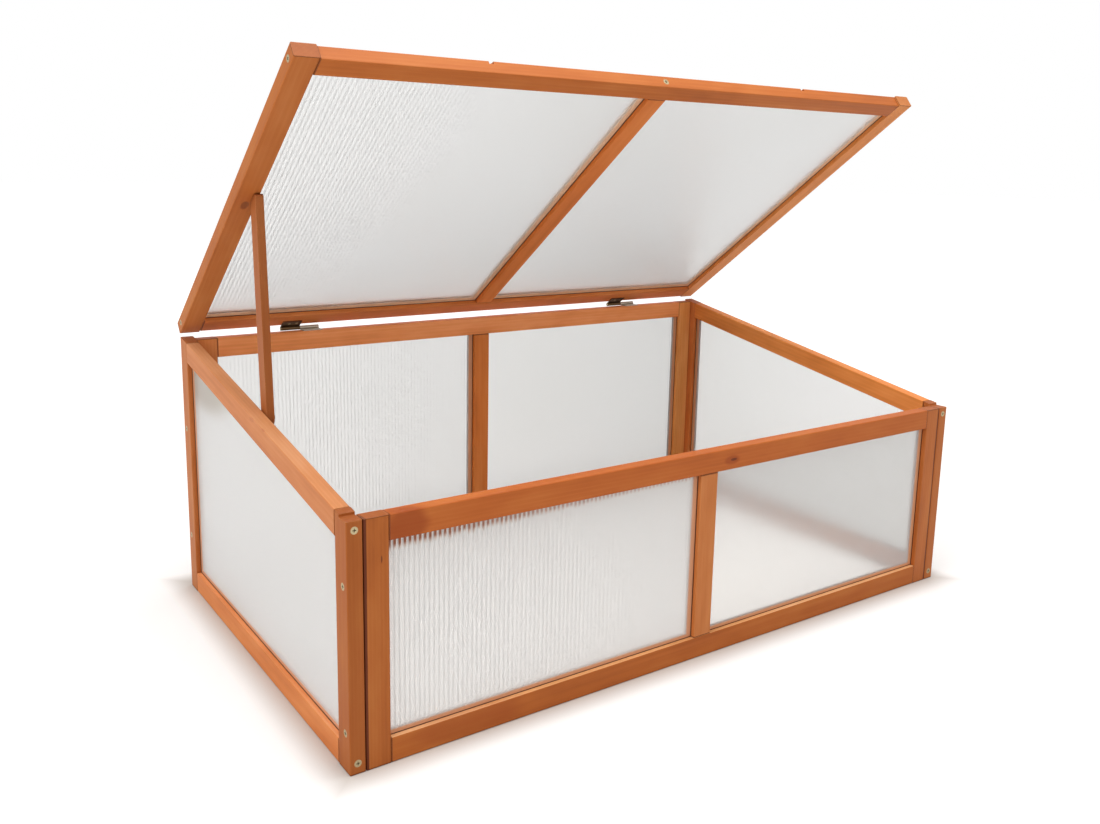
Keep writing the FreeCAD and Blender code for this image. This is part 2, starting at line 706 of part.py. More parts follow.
def make_box(frame_kind, corner_kind, hinge_kind, pivot_kind):
    end_holes = screws("end_frame_screws", frame_kind, end_frame_places(), in_box)
    panel_holes = screws("panel_frame_screws", frame_kind, panel_frame_places(), in_box)
    muntin_holes = screws("muntin_screws", frame_kind, muntin_places(), in_box)
    corner_holes = screws("corner_screws", corner_kind, corner_places(), in_box)
    leaf_middle = size("box_depth") - size("leaf_reach") / 2
    leaf_top = size("back_height") + size("leaf_thick")
    hinge_holes = screws("hinge_box_screws", hinge_kind,
                         hinge_places(1, leaf_middle, leaf_top, -Z_AXIS), in_box)
    pivot_holes = prop_pivot(*pivot_kind)
    for prefix, face, height, extra in (
            ("front", "0", "front_height", []),
            ("back", "box_depth - board_thick", "back_height", [hinge_holes])):
        glazed_frame(prefix, True, ("panel_left", "panel_right"), ("0", height), face,
                     (("bottom_rail", "rail_width"), ("top_rail", "rail_width")), "0",
                     ("wall_sheet_width", f"{prefix}_sheet_height"),
                     {"stile": [panel_holes, corner_holes],
                      "low": [panel_holes, muntin_holes],
                      "high": [panel_holes] + extra,
                      "muntin": [muntin_holes]}, in_box)
    end_panel("left", "0", [end_holes, corner_holes, pivot_holes])
    end_panel("right", "(box_width - board_thick)", [end_holes, corner_holes])
    return hinge_holes


def make_lid(frame_kind, hinge_kind):
    frame_places, muntin_spots = lid_places()
    frame_holes = screws("lid_frame_screws", frame_kind, frame_places, in_lid)
    muntin_holes = screws("lid_muntin_screws", frame_kind, muntin_spots, in_lid)
    leaf_middle = -size("lid_edge_in") - size("leaf_reach") / 2
    leaf_face = size("knuckle_radius") - size("leaf_thick")
    hinge_holes = screws("hinge_lid_screws", hinge_kind,
                         hinge_places(-1, leaf_middle, leaf_face, Z_AXIS), in_lid)
    glazed_frame("lid", False, ("0", "box_width"), ("-lid_free", "-lid_edge_in"),
                 "knuckle_radius",
                 (("front_rail", "lid_front_rail_width"),
                  ("hinge_rail", "lid_hinge_rail_width")), "lid_rail_inset",
                 ("lid_sheet_width", "lid_sheet_length"),
                 {"stile": [frame_holes],
                  "low": [frame_holes, muntin_holes] + hook_notches(),
                  "high": [frame_holes, muntin_holes, hinge_holes],
                  "muntin": [muntin_holes]}, in_lid)
    return hinge_holes


def make_pivot_kind():
    """The pan-head screw that the prop turns on, and the tool for its hole."""
    screw = turned("pivot_screw", [
        ("0", "0"),
        ("screw_head - pivot_head_edge", "0"),
        ("screw_head", "pivot_head_edge"),
        ("screw_head", "pivot_head_height"),
        ("screw_shank", "pivot_head_height"),
        ("screw_shank", "pivot_head_height + pivot_screw_length - screw_tip"),
        ("0", "pivot_head_height + pivot_screw_length"),
    ])
    cross_recess(screw, "pivot_screw")
    shank = "screw_shank + screw_clear"
    hole = turned("pivot_screw_hole", [
        ("0", "0"),
        (shank, "0"),
        (shank, "overrun + pivot_head_height + pivot_screw_length - screw_tip"),
        ("0", "overrun + pivot_head_height + pivot_screw_length + screw_clear"),
    ])
    return screw, hole


def write_parts():
    """Check every object, and write each finished piece to a file of its own."""
    doc.recompute()
    for thing in doc.Objects:
        if "Invalid" in thing.State or "Error" in thing.State:
            raise ValueError(f"{thing.Name} failed: {thing.State}")
    for thing in NODES:
        if thing.Shape.isNull() or not thing.Shape.isValid() or not thing.Shape.Solids:
            raise ValueError(f"{thing.Label} has no valid solid")
    os.makedirs("parts", exist_ok=True)
    for thing in NODES:
        thing.Shape.exportStep(f"parts/{thing.Label}.step")
        print(thing.Label, len(thing.Shape.Solids), round(thing.Shape.Volume / 1000, 2), "cm3")


def main():
    fill_sheets()
    wood_screw = ("screw_head", "screw_rim", "screw_shank", "screw_tip")
    frame_kind = screw_kind("frame_screw", *wood_screw, "frame_screw_length", True)
    corner_kind = screw_kind("corner_screw", *wood_screw, "corner_screw_length", True)
    hinge_kind = screw_kind("hinge_screw", "hinge_screw_head", "hinge_screw_rim",
                            "hinge_screw_shank", "hinge_screw_tip", "hinge_screw_length",
                            False)
    box_hinge_holes = make_box(frame_kind, corner_kind, hinge_kind, make_pivot_kind())
    lid_hinge_holes = make_lid(frame_kind, hinge_kind)
    hinges(box_hinge_holes, lid_hinge_holes)
    prop_stick()
    write_parts()


main()
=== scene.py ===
import math
import random
from collections import namedtuple
from functools import reduce

import bpy
from mathutils import Matrix, Vector

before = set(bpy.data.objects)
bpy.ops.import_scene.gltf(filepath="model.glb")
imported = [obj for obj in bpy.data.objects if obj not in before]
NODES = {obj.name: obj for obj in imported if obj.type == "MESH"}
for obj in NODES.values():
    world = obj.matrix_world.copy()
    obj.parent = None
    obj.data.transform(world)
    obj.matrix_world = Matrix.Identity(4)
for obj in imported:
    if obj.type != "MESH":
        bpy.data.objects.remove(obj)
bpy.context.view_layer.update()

# The camera, as solved from the corners of the object, with the image's frame in pixels
IMAGE_WIDTH, IMAGE_HEIGHT = 1100, 824
CAMERA_AZIMUTH, CAMERA_ELEVATION, CAMERA_ROLL = -34.7624, 10.4715, 1.1156
CAMERA_PLACE = (-0.8852801, -1.2049787, 0.631914)
FOCAL_PIXELS = 1009.3437
CENTRE_ACROSS, CENTRE_DOWN = 547.8358, 355.7626
SENSOR_WIDTH = 36

# The ends' heights and the box's depth in millimetres, and the slopes
FRONT_HEIGHT, REAR_HEIGHT, BOX_DEPTH = 280, 382, 589
LID_SLOPE = math.radians(36.2)
SIDE_SLOPE = math.atan((REAR_HEIGHT - FRONT_HEIGHT) / BOX_DEPTH)
PROP_LEAN = math.radians(3.2)
# Directions that the grain and the flutes run in, and that faces and borders lie in
ACROSS = Vector((1, 0, 0))
BACKWARD = Vector((0, 1, 0))
UPWARD = Vector((0, 0, 1))
DOWNWARD = -UPWARD
UP_THE_LID = Vector((0, -math.cos(LID_SLOPE), math.sin(LID_SLOPE)))
DOWN_THE_LID = -UP_THE_LID
UNDER_THE_LID = Vector((0, -math.sin(LID_SLOPE), -math.cos(LID_SLOPE)))
UP_THE_SIDE = Vector((0, math.cos(SIDE_SLOPE), math.sin(SIDE_SLOPE)))
OVER_THE_SIDE = Vector((0, -math.sin(SIDE_SLOPE), math.cos(SIDE_SLOPE)))
UP_THE_PROP = Vector((0, math.sin(PROP_LEAN), math.cos(PROP_LEAN)))

# A spot's ragged rim: how far the noise moves it, and between which parts of the reach it fades
SPOT_RAGGED = 0.8
SPOT_RIM = (0.55, 1.0)


class Value:
    """A socket that stands for a number, with sums written as plain Python."""

    def __init__(self, finish, socket):
        self.finish = finish
        self.socket = socket

    def join(self, operation, *terms):
        inputs = dict(enumerate(terms))
        return self.finish.node("ShaderNodeMath", {"operation": operation}, inputs)

    def __add__(self, other):
        return self.join("ADD", self, other)

    def __radd__(self, other):
        return self.join("ADD", other, self)

    def __sub__(self, other):
        return self.join("SUBTRACT", self, other)

    def __rsub__(self, other):
        return self.join("SUBTRACT", other, self)

    def __mul__(self, other):
        return self.join("MULTIPLY", self, other)

    def __rmul__(self, other):
        return self.join("MULTIPLY", other, self)

    def __truediv__(self, other):
        return self.join("DIVIDE", self, other)

    def __pow__(self, other):
        return self.join("POWER", self, other)

    def __abs__(self):
        return self.join("ABSOLUTE", self)

    def sine(self):
        return self.join("SINE", self)

    def least(self, other):
        return self.join("MINIMUM", self, other)

    def most(self, other):
        return self.join("MAXIMUM", self, other)

    def to_and_fro(self, reach):
        """Up to the reach and back to 0, over and over."""
        return self.join("PINGPONG", self, reach)

    def smooth(self, low, high):
        """0 below low, 1 above high, with a soft step between."""
        settings = {"interpolation_type": "SMOOTHSTEP"}
        return self.finish.node("ShaderNodeMapRange", settings,
                                {"Value": self, "From Min": low, "From Max": high})


class Finish:
    """A procedural material in the making."""

    def __init__(self, name):
        self.start(bpy.data.materials.new(name))

    def start(self, holder):
        """Empty the node tree of a new material or world."""
        self.material = holder
        self.material.use_nodes = True
        self.tree = self.material.node_tree
        self.tree.nodes.clear()

    def node(self, kind, settings=None, inputs=None, output=0):
        made = self.tree.nodes.new(kind)
        for key, value in (settings or {}).items():
            if key == "stops":
                self.set_stops(made.color_ramp, value)
            else:
                setattr(made, key, value)
        for key, value in (inputs or {}).items():
            if isinstance(value, Value):
                self.tree.links.new(value.socket, made.inputs[key])
            else:
                made.inputs[key].default_value = value
        return Value(self, made.outputs[output]) if made.outputs else None

    @staticmethod
    def set_stops(ramp, stops):
        while len(ramp.elements) < len(stops):
            ramp.elements.new(0.5)
        for element, (place, tint) in zip(ramp.elements, stops):
            element.position = place
            element.color = tint

    def place(self, turn=(0, 0, 0), shift=(0, 0, 0), stretch=(1, 1, 1)):
        """Object coordinates, turned, moved and stretched."""
        coordinates = self.node("ShaderNodeTexCoord", output="Object")
        settings = {"vector_type": "POINT"}
        turned = self.node("ShaderNodeMapping", settings,
                           {"Vector": coordinates, "Rotation": turn, "Location": shift})
        return self.node("ShaderNodeMapping", settings, {"Vector": turned, "Scale": stretch})

    def normal(self):
        """The way a face looks, in the object's own directions."""
        return self.node("ShaderNodeTexCoord", output="Normal")

    def part_of(self, vector, axis):
        return self.node("ShaderNodeSeparateXYZ", {}, {"Vector": vector}, output=axis)

    def dot(self, first, second):
        return self.node("ShaderNodeVectorMath", {"operation": "DOT_PRODUCT"},
                         {0: first, 1: second}, output="Value")

    def length(self, vector):
        return self.node("ShaderNodeVectorMath", {"operation": "LENGTH"}, {0: vector},
                         output="Value")

    def noise(self, vector, detail, roughness=0.5, scale=1.0):
        inputs = {"Vector": vector, "Scale": scale, "Detail": detail, "Roughness": roughness,
                  "Distortion": 0.0}
        return self.node("ShaderNodeTexNoise", {"noise_dimensions": "3D"}, inputs)

    def blend(self, factor, first, second, way="MIX"):
        """Mix two colours."""
        settings = {"data_type": "RGBA", "blend_type": way}
        return self.node("ShaderNodeMix", settings,
                         {0: factor, 6: first, 7: second}, output=2)

    def filtered(self, coat, levels):
        """A colour with its red, green and blue multiplied by three levels."""
        return self.blend(1.0, coat, (*levels, 1.0), "MULTIPLY")

    def spot(self, centre, reach, ragged):
        """1 in the middle of a rounded patch and 0 outside it, with a ragged rim."""
        span = self.place(shift=tuple(-part for part in centre),
                          stretch=tuple(1 / part for part in reach))
        return 1 - (self.length(span) + (ragged - 0.5) * SPOT_RAGGED).smooth(*SPOT_RIM)

    def marked(self, coat, marks, ragged):
        """A colour with spots on it: their middle, reach, colour and strength."""
        for centre, reach, mark, strength in marks:
            coat = self.blend(self.spot(centre, reach, ragged) * strength, coat, mark)
        return coat

    def layer(self, **inputs):
        """One layer of the surface, with its sockets' names written with underscores."""
        names = {key.replace("_", " "): value for key, value in inputs.items()}
        return self.node("ShaderNodeBsdfPrincipled", {}, names)

    def close(self, shader):
        """End the material with a shader."""
        self.node("ShaderNodeOutputMaterial", {}, {"Surface": shader})
        return self.material


def colour(red, green, blue):
    """A linear colour from the 0 to 255 values of a picture."""
    values = []
    for level in (red, green, blue):
        part = level / 255
        values.append(part / 12.92 if part <= 0.04045 else ((part + 0.055) / 1.055) ** 2.4)
    return (*values, 1.0)


def turn_across(direction):
    """The rotation that lays a direction along X."""
    return direction.rotation_difference(ACROSS).to_euler("XYZ")


def reach_along(node, direction):
    """Where a board or a sheet starts and ends along a direction."""
    reach = [vertex.co.dot(direction) for vertex in NODES[node].data.vertices]
    return min(reach), max(reach)


def dress(node, material):
    slots = NODES[node].data.materials
    slots.clear()
    slots.append(material)


# Wood

STAIN_LIGHT = colour(216, 137, 77)
STAIN_MIDDLE = colour(198, 112, 52)
STAIN_DARK = colour(164, 84, 30)
STAIN_END = colour(140, 72, 34)
# A pale colour for the rounded edges: a painted highlight where they catch the light
ARRIS_HIGHLIGHT = colour(240, 168, 112)
KNOT = colour(96, 42, 14)
DARK_PATCH = colour(150, 62, 14)
# A deep brown for seams and joints: painted shade in the gaps between parts
SEAM_SHADE = colour(84, 28, 6)
FAINT = colour(188, 108, 66)
# The rounded edges' width, and how near its end a board is darkened with painted shade at its
# joints
ARRIS = 0.0012
JOINT_SHADE_REACH = (0.0004, 0.0016)
# How nearly a face looks along a direction, as a cosine, to count as a side or as an end,
# and how far the rounded edges turn away from their faces
SIDE_FACE, END_FACE, ROUNDED = (0.8, 0.9), (0.8, 0.95), (0.02, 0.22)
# How strongly the end grain, the painted shade near the board ends and the painted highlight on
# the rounded edges show
END_SHOWS, JOINT_SHADE_SHOWS, ARRIS_HIGHLIGHT_SHOWS = 0.45, 0.75, 0.4
# How fine the noises are, along the grain and twice across it
WAVER, FIBRES = (1.2, 9, 9), (14, 900, 900)
STREAKS, CLOUDS = (2.5, 160, 160), (7, 26, 26)
# How much each lightens or darkens the stain, and how far each stands up
RING_TONE, FIBRE_TONE, STREAK_TONE, CLOUD_TONE = 0.04, 0.14, 0.2, 0.6
RING_RIDGE, FIBRE_RIDGE, STREAK_RIDGE = 0.25, 0.6, 0.5
GRAIN_DEPTH, GRAIN_STRENGTH = 0.0004, 0.2
# The rings' phase in radians for each metre outwards, and how far they stray
RING_PHASE, RING_STRAY = 1500.0, 0.012
# How far each board's pattern is moved, and where the tree's heart lies from the board
SHIFT_ALONG, SHIFT_ASIDE = 3, 0.4
HEART_BESIDE, HEART_BELOW = (0.05, 0.12), (0.02, 0.08)
# The dullness of the stained wood, what fibres and clouds add to it, and its gloss
WOOD_DULL, FIBRE_DULL, CLOUD_DULL, WOOD_GLOSS = 0.42, 0.16, 0.1, 0.25
FIRST_BOARD_SEED = 11

# Each board: the way its grain runs and the levels its stain colour is multiplied by, in red,
# green and blue. The levels are partly each board's own colour and partly painted light and
# shade: many boards inside the box and under the lid are made lighter, and the front stiles and
# rails and the prop darker
BOARDS = {
    "front_left_stile": (UPWARD, (0.80, 0.75, 0.56)),
    "front_right_stile": (UPWARD, (0.88, 0.86, 0.82)),
    "front_muntin": (UPWARD, (1.02, 1.13, 1.32)),
    "front_bottom_rail": (ACROSS, (0.84, 0.76, 0.52)),
    "front_top_rail": (ACROSS, (0.88, 0.74, 0.52)),
    "back_left_stile": (UPWARD, (1.20, 1.24, 1.38)),
    "back_right_stile": (UPWARD, (1.45, 1.90, 2.30)),
    "back_muntin": (UPWARD, (1.20, 1.13, 0.95)),
    "back_bottom_rail": (ACROSS, (1.10, 1.10, 1.15)),
    "back_top_rail": (ACROSS, (1.60, 1.85, 2.70)),
    "left_front_stile": (UPWARD, (0.69, 0.62, 0.42)),
    "left_rear_stile": (UPWARD, (0.86, 0.90, 0.97)),
    "left_bottom_rail": (BACKWARD, (1.20, 1.25, 1.35)),
    "left_top_rail": (UP_THE_SIDE, (1.05, 1.25, 1.80)),
    "right_front_stile": (UPWARD, (0.84, 0.80, 0.70)),
    "right_rear_stile": (UPWARD, (1.10, 1.10, 1.15)),
    "right_bottom_rail": (BACKWARD, (1.00, 1.00, 1.00)),
    "right_top_rail": (UP_THE_SIDE, (1.45, 1.65, 1.70)),
    "lid_left_stile": (UP_THE_LID, (0.98, 0.98, 0.95)),
    "lid_right_stile": (UP_THE_LID, (1.45, 1.80, 2.20)),
    "lid_muntin": (UP_THE_LID, (1.35, 1.30, 1.20)),
    "lid_front_rail": (ACROSS, (1.00, 0.95, 0.80)),
    "lid_hinge_rail": (ACROSS, (1.20, 1.24, 1.38)),
    "prop": (UP_THE_PROP, (0.66, 0.63, 0.60)),
}
# Knots, darker places and the painted shade in the seams beside the end panels: the middle, how
# far each way, the colour and how strong
FRONT_FACE = -0.3003
MARKS = {
    "front_top_rail": [
        ((0.038, FRONT_FACE, 0.2640), (0.016, 0.02, 0.0075), DARK_PATCH, 0.6),
        ((0.041, FRONT_FACE, 0.2645), (0.007, 0.02, 0.0022), KNOT, 0.85),
        ((-0.432, FRONT_FACE, 0.264), (0.034, 0.03, 0.034), DARK_PATCH, 0.7)],
    "front_left_stile": [
        ((-0.4612, FRONT_FACE, 0.233), (0.0009, 0.01, 0.005), KNOT, 0.85),
        # A dark band down the stile's outer edge: painted shade in the seam with the end panel
        ((-0.4800, FRONT_FACE, 0.14), (0.0024, 0.02, 0.5), SEAM_SHADE, 0.9)],
    # The same painted shade in the seam with the right end panel
    "front_right_stile": [((0.4800, FRONT_FACE, 0.14), (0.0024, 0.02, 0.5), SEAM_SHADE, 0.9)],
    "front_bottom_rail": [((-0.36, FRONT_FACE, 0.02), (0.09, 0.02, 0.03), DARK_PATCH, 0.4)],
    # A dark spot on the stile's underside beside the prop's top, in the knots' colour
    "lid_left_stile": [((-0.485, 0.0239, 0.5817), (0.006, 0.010, 0.010), KNOT, 0.55)],
    "left_top_rail": [
        ((-0.5, -0.0605, 0.3213), (0.002, 0.008, 0.003), FAINT, 0.6),
        ((-0.5, -0.02, 0.325), (0.002, 0.012, 0.004), FAINT, 0.5)],
}
# Faces painted lighter or darker than the rest of their board for how the light falls on them,
# painted light on upper faces and under the lid, painted shade on the lid stile's outer face:
# the way each looks, and how much its red, green and blue change
LIT_AND_SHADED_SIDES = {
    "lid_left_stile": [(-ACROSS, (0.82, 0.78, 0.42)), (UNDER_THE_LID, (1.0, 1.03, 1.05))],
    "left_top_rail": [(OVER_THE_SIDE, (1.05, 1.2, 1.45))],
    "front_bottom_rail": [(UPWARD, (1.7, 3.2, 9.0))],
    "left_bottom_rail": [(UPWARD, (1.2, 1.4, 2.0))],
}


def growth_rings(finish, grain, shift, heart, waver):
    """0 to 1 across each ring, round a heart that lies beside and below the board."""
    side = finish.part_of(grain, 1) - shift[1] + heart[0]
    rise = finish.part_of(grain, 2) - shift[2] + heart[1]
    outwards = (side * side + rise * rise) ** 0.5
    ringed = (outwards + (waver - 0.5) * RING_STRAY) * RING_PHASE
    return (ringed.sine() * 0.5 + 0.5) ** 2.0


def wood(name, direction, ends, seed, tone_and_light, marks, lit_and_shaded_sides):
    """Stained softwood with its grain along a direction, between two ends."""
    draw = random.Random(seed)
    finish = Finish(name)
    turn = turn_across(direction)
    shift = tuple(draw.uniform(-reach, reach) for reach in
                  (SHIFT_ALONG, SHIFT_ASIDE, SHIFT_ASIDE))
    heart = draw.uniform(*HEART_BESIDE), draw.uniform(*HEART_BELOW)

    waver = finish.noise(finish.place(turn, shift, WAVER), detail=2.0)
    fibres = finish.noise(finish.place(turn, shift, FIBRES), detail=3.0, roughness=0.6)
    streaks = finish.noise(finish.place(turn, shift, STREAKS), detail=3.0, roughness=0.55)
    clouds = finish.noise(finish.place(turn, shift, CLOUDS), detail=3.0, roughness=0.55)
    rings = growth_rings(finish, finish.place(turn, shift), shift, heart, waver)

    stained = (0.5 + RING_TONE * rings + FIBRE_TONE * (fibres - 0.5)
               + STREAK_TONE * (streaks - 0.5) + CLOUD_TONE * (clouds - 0.5))
    body = finish.node("ShaderNodeValToRGB", {
        "stops": [(0.2, STAIN_DARK), (0.5, STAIN_MIDDLE), (0.8, STAIN_LIGHT)]},
        {"Fac": stained})
    # The board's levels carry part of its painted light and shade
    coat = finish.marked(finish.filtered(body, tone_and_light), marks, clouds)
    # Painted light and shade on whole faces of the board
    for way, levels in lit_and_shaded_sides:
        facing = finish.dot(finish.normal(), way).smooth(*SIDE_FACE)
        coat = finish.blend(facing, coat, finish.filtered(coat, levels))

    end_face = abs(finish.dot(finish.normal(), direction)).smooth(*END_FACE)
    coat = finish.blend(end_face * END_SHOWS, coat, STAIN_END)
    # Side faces darken towards the board's ends: painted shade at the joints
    along = finish.dot(finish.place(), direction)
    from_end = (along - ends[0]).least(ends[1] - along)
    joint_shade = (1 - from_end.smooth(*JOINT_SHADE_REACH)) * (1 - end_face)
    coat = finish.blend(joint_shade * JOINT_SHADE_SHOWS, coat, SEAM_SHADE)

    rounded = finish.node("ShaderNodeBevel", {"samples": 4}, {"Radius": ARRIS})
    plain = finish.node("ShaderNodeNewGeometry", output="True Normal")
    # The rounded edges are painted paler: a painted highlight
    arris_highlight = (1 - finish.dot(rounded, plain)).smooth(*ROUNDED)
    coat = finish.blend(arris_highlight * ARRIS_HIGHLIGHT_SHOWS, coat, ARRIS_HIGHLIGHT)

    height = fibres * FIBRE_RIDGE + streaks * STREAK_RIDGE + rings * RING_RIDGE
    bump = finish.node("ShaderNodeBump", {}, {
        "Height": height, "Strength": GRAIN_STRENGTH, "Distance": GRAIN_DEPTH,
        "Normal": rounded})
    dull = WOOD_DULL + FIBRE_DULL * fibres + CLOUD_DULL * clouds
    return finish.close(finish.layer(
        Base_Color=coat, Roughness=dull, Normal=bump, Specular_IOR_Level=WOOD_GLOSS))


def dress_boards():
    for seed, (node, (direction, tone_and_light)) in enumerate(BOARDS.items(), start=FIRST_BOARD_SEED):
        dress(node, wood(f"stained_{node}", direction, reach_along(node, direction), seed, tone_and_light,
                         MARKS.get(node, ()), LIT_AND_SHADED_SIDES.get(node, ())))


# Twin-wall sheets

FLUTE_PITCH = 0.006
# How fine the noises are, along the flutes and twice across, how far each sheet's pattern is
# moved, and what the lines along the flutes add to its frost
FLUTE_LINES, HAZE = (0.8, 170, 170), (3, 3, 3)
SHIFT_SHEET = 2
LINE_FROST = 0.02
# Lower than the plastic's own, so that as much light comes through as in the photo
SHEET_IOR = 1.3
# The matt skin of the outer face: how far under it the skin ends, and how squarely a face
# looks outwards to have it
SKIN_FROM, SKIN_TO = 0.0003, 0.0001
SQUARE_ON = (0.9, 0.95)
SKIN_DULL, SKIN_GLOSS = 0.4, 0.3
MATT_WHITE = colour(250, 249, 247)
# A dark line where the sheet enters its groove: painted shade in the gap
GROOVE_SHADE = colour(84, 34, 10)
# How strongly the bars' strips show, and how much of their width is solid before they fade
STRIP_SHOWS, STRIP_SOLID = 0.85, 0.6
# The flutes under the top rail: their shade, the rail's brown that shows as teeth, where each
# starts and ends across a flute and downwards, and the shortest tooth and what is added to it
FLUTE_SHADE = colour(150, 146, 140)
RAIL_TEETH = colour(158, 82, 36)
SHADE_SHOWS, SHADE_ACROSS, SHADE_DOWN = 0.12, (0.5, 0.9), (0.004, 0.035)
TEETH_ACROSS, TEETH_DOWN = (0.28, 0.6), (0.3, 1.0)
TOOTH_SHORT, TOOTH_LONGER = 0.005, 0.009
FIRST_SHEET_SEED = 61
# The hidden half of a bar behind a sheet: the groove's line of painted shade and the strip past
# it, beside an upright bar, above a lying one and under the lid, and the strip's colour
BESIDE, ABOVE, UNDER_LID = (0.0014, 0.011), (0.0010, 0.007), (0.0014, 0.013)
PEACH = colour(226, 164, 122)
PALE_PEACH = colour(255, 214, 176)

# Each sheet: the way its flutes run and the way its matt skin looks, how clear and how frosted
# it is, its white, how matt it is, the bars' colour and the bars that show through it. The
# whites, the clearness and how matt each is differ from sheet to sheet to paint in the light
# and shade it gets: lit and shaded copies of one plastic
Sheet = namedtuple("Sheet", "flutes outward clearness frost white matt strip bars")
SHEETS = {
    "front_sheet_left": Sheet(
        UPWARD, -BACKWARD, 0.90, 0.36, 248, 0.5, PEACH,
        [("front_muntin", ACROSS, BESIDE), ("front_bottom_rail", DOWNWARD, ABOVE)]),
    "front_sheet_right": Sheet(
        UPWARD, -BACKWARD, 0.98, 0.15, 248, 0.28, PEACH,
        [("front_right_stile", ACROSS, BESIDE), ("front_bottom_rail", DOWNWARD, ABOVE)]),
    "back_sheet_left": Sheet(
        UPWARD, BACKWARD, 0.95, 0.28, 235, 0.0, PEACH,
        [("back_muntin", ACROSS, BESIDE)]),
    "back_sheet_right": Sheet(
        UPWARD, BACKWARD, 0.98, 0.28, 233, 0.0, PEACH,
        [("back_right_stile", ACROSS, BESIDE)]),
    "left_sheet": Sheet(
        UPWARD, -ACROSS, 0.78, 0.28, 255, 0.2, PEACH,
        [("left_rear_stile", BACKWARD, BESIDE), ("left_bottom_rail", DOWNWARD, ABOVE)]),
    "right_sheet": Sheet(
        UPWARD, ACROSS, 0.98, 0.28, 240, 0.0, PEACH,
        [("right_rear_stile", BACKWARD, BESIDE)]),
    "lid_sheet_left": Sheet(
        UP_THE_LID, UNDER_THE_LID, 1.0, 0.31, 255, 0.0, PALE_PEACH,
        [("lid_muntin", ACROSS, UNDER_LID), ("lid_hinge_rail", DOWN_THE_LID, UNDER_LID)]),
    "lid_sheet_right": Sheet(
        UP_THE_LID, UNDER_THE_LID, 1.0, 0.28, 255, 0.0, PALE_PEACH,
        [("lid_right_stile", ACROSS, UNDER_LID), ("lid_hinge_rail", DOWN_THE_LID, UNDER_LID)]),
}
# A greyer patch at the top rear of the left sheet: painted shade of the top rail seen through
# it
SHEET_PAINTED_SHADE = {
    "left_sheet": [((-0.49, 0.2, 0.345), (0.1, 0.15, 0.075), colour(206, 194, 176), 0.9)],
}
# Where the top rail's wood shows between the flutes: from, to and the height
UNDER_THE_RAIL = {"front_sheet_left": (-0.446, -0.02, 0.2495)}


def bars_behind(finish, bars):
    """Two masks for the bars at the borders: their strips and the grooves' lines of painted
    shade.
    """
    strips, grooves = [], []
    for bar, axis, (dark, wide) in bars:
        away = reach_along(bar, axis)[0] - finish.dot(finish.place(), axis)
        strips.append(1 - away.smooth(wide * STRIP_SOLID, wide))
        grooves.append(1 - away.smooth(dark * STRIP_SOLID, dark))
    return reduce(Value.most, strips), reduce(Value.most, grooves)


def rail_between_flutes(finish, top_edge, lines):
    """Two masks for the flutes at the top: their shade and the rail's brown teeth."""
    left, right, height = top_edge
    across = finish.part_of(finish.place(), 0)
    down = height - finish.part_of(finish.place(), 2)
    ridge = ((across - left) / FLUTE_PITCH).to_and_fro(0.5) * 2
    fading = 1 - across.smooth(left, right)
    shade = ridge.smooth(*SHADE_ACROSS) * (1 - down.smooth(*SHADE_DOWN)) * fading
    length = (TOOTH_SHORT + TOOTH_LONGER * fading) * (0.5 + lines)
    teeth = ridge.smooth(*TEETH_ACROSS) * (1 - (down / length).smooth(*TEETH_DOWN))
    return shade, teeth * (0.5 + 0.5 * fading)


def twin_wall(name, sheet, face, seed, marks, top_edge):
    """Frosted clear plastic, with the bars behind it showing along some borders."""
    draw = random.Random(seed)
    finish = Finish(name)
    turn = turn_across(sheet.flutes)
    shift = tuple(draw.uniform(-SHIFT_SHEET, SHIFT_SHEET) for axis in range(3))
    lines = finish.noise(finish.place(turn, shift, FLUTE_LINES), detail=2.0)
    haze = finish.noise(finish.place(turn, shift, HAZE), detail=2.0)

    white = sheet.white
    tint = finish.blend(haze, colour(white - 3, white - 3, white - 4),
                        colour(white, white, white))
    # Patches of painted shade, where a sheet has them
    tint = finish.marked(tint, marks, haze)
    strip, groove = bars_behind(finish, sheet.bars)
    behind = finish.blend(groove, sheet.strip, GROOVE_SHADE)
    if top_edge:
        shade, teeth = rail_between_flutes(finish, top_edge, lines)
        tint = finish.blend(shade * SHADE_SHOWS, tint, FLUTE_SHADE)
        strip = strip.most(teeth)
        behind = finish.blend(teeth, behind, RAIL_TEETH)

    facing = finish.dot(finish.normal(), sheet.outward).smooth(*SQUARE_ON)
    depth = finish.dot(finish.place(), sheet.outward)
    outer = facing * depth.smooth(face - SKIN_FROM, face - SKIN_TO)
    clear = finish.layer(Base_Color=tint, Roughness=sheet.frost + LINE_FROST * lines,
                         Transmission_Weight=sheet.clearness, IOR=SHEET_IOR)
    skin = finish.layer(Base_Color=finish.blend(strip, MATT_WHITE, behind),
                        Roughness=SKIN_DULL, Specular_IOR_Level=SKIN_GLOSS)
    share = (strip * STRIP_SHOWS).most(outer * sheet.matt)
    return finish.close(finish.node("ShaderNodeMixShader", {}, {0: share, 1: clear, 2: skin}))


def dress_sheets():
    for seed, (node, sheet) in enumerate(SHEETS.items(), start=FIRST_SHEET_SEED):
        face = reach_along(node, sheet.outward)[1]
        dress(node, twin_wall(f"clear_{node}", sheet, face, seed,
                              SHEET_PAINTED_SHADE.get(node, ()), UNDER_THE_RAIL.get(node)))


# Screws, pins and hinges

